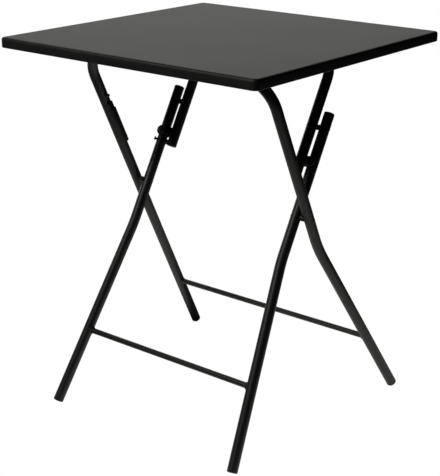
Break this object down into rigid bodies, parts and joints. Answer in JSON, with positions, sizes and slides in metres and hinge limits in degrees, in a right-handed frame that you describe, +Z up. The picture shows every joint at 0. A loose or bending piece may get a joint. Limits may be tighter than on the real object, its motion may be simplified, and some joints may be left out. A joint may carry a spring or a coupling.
{
  "type": "folding card table",
  "caption": "Square steel-topped folding table on crossed tube legs, with a hinged upper hoop that folds at a locking knee so the legs and the top close flat together.",
  "frame": {"origin": "on the floor under the middle of the square top", "axes": "+Z up; the outer legs' feet are towards +Y, the inner legs' feet towards -Y; the hinge axes run along X"},
  "size_m": [0.556, 0.556, 0.7],
  "materials": {
    "black_paint": "matte black powder coat with a fine texture",
    "black_steel": "black finished rivets and pins",
    "black_plastic": "black moulded plastic",
    "bearing_plastic": "dark nylon",
    "zinc_steel": "zinc-plated pan-head screws"
  },
  "bodies": {
    "outer_frame": {"outer_foot_cap_l": "black_plastic", "outer_foot_cap_r": "black_plastic", "outer_hoop": "black_paint", "outer_stretcher": "black_paint", "pivot_rivet_l": "black_steel", "pivot_rivet_r": "black_steel", "pivot_spacer_l": "black_plastic", "pivot_spacer_r": "black_plastic", "strip": "black_plastic", "strip_pin": "black_paint"},
    "inner_frame": {"inner_foot_cap_l": "black_plastic", "inner_foot_cap_r": "black_plastic", "inner_leg_l": "black_paint", "inner_leg_r": "black_paint", "inner_stretcher": "black_paint", "knee_pin_l": "black_steel", "knee_pin_r": "black_steel", "leg_top_cap_l": "black_plastic", "leg_top_cap_r": "black_plastic", "lock_boss_l": "black_plastic", "lock_boss_r": "black_plastic", "lock_peg_l": "black_plastic", "lock_peg_r": "black_plastic", "lock_stop_l": "black_plastic", "lock_stop_r": "black_plastic"},
    "top": {"hinge_block_back_l": "bearing_plastic", "hinge_block_back_r": "bearing_plastic", "hinge_block_front_l": "bearing_plastic", "hinge_block_front_r": "bearing_plastic", "hinge_screw_back_a_l": "zinc_steel", "hinge_screw_back_a_r": "zinc_steel", "hinge_screw_back_b_l": "zinc_steel", "hinge_screw_back_b_r": "zinc_steel", "hinge_screw_front_a_l": "zinc_steel", "hinge_screw_front_a_r": "zinc_steel", "hinge_screw_front_b_l": "zinc_steel", "hinge_screw_front_b_r": "zinc_steel", "hinge_strap_back_l": "black_paint", "hinge_strap_back_r": "black_paint", "hinge_strap_front_l": "black_paint", "hinge_strap_front_r": "black_paint", "rail_l": "black_paint", "rail_r": "black_paint", "top_panel": "black_paint"},
    "upper_hoop": {"hoop_plug_l": "black_plastic", "hoop_plug_r": "black_plastic", "knee_rivet_l": "black_steel", "knee_rivet_r": "black_steel", "upper_hoop": "black_paint"},
    "lock_button_l": {"lock_button_l": "black_plastic"},
    "lock_button_r": {"lock_button_r": "black_plastic"}
  },
  "joints": [
    {"name": "top_tilt", "type": "hinge", "parent": "outer_frame", "child": "top", "pos_m": [0, -0.15083, 0.675], "axis": [-1, 0, 0], "range_deg": [0, 62.9]},
    {"name": "leg_fold", "type": "hinge", "parent": "outer_frame", "child": "inner_frame", "pos_m": [0, -0.0173, 0.4], "axis": [1, 0, 0], "range_deg": [0, 54.9]},
    {"name": "hoop_swing", "type": "hinge", "parent": "top", "child": "upper_hoop", "pos_m": [0, 0.14147, 0.675], "axis": [-1, 0, 0], "range_deg": [0, 60]},
    {"name": "lock_press_l", "type": "slide", "parent": "inner_frame", "child": "lock_button_l", "axis": [0, 0.866, -0.5], "range_m": [0, 0.0012], "stiffness_N_per_m": 800, "springref_m": -0.001},
    {"name": "lock_press_r", "type": "slide", "parent": "inner_frame", "child": "lock_button_r", "axis": [0, 0.866, -0.5], "range_m": [0, 0.0012], "stiffness_N_per_m": 800, "springref_m": -0.001}
  ],
  "couplings": [
    {"joint": "leg_fold", "follows": "top_tilt", "ratio": 0.8727},
    {"joint": "hoop_swing", "follows": "top_tilt", "ratio": 0.95372}
  ]
}
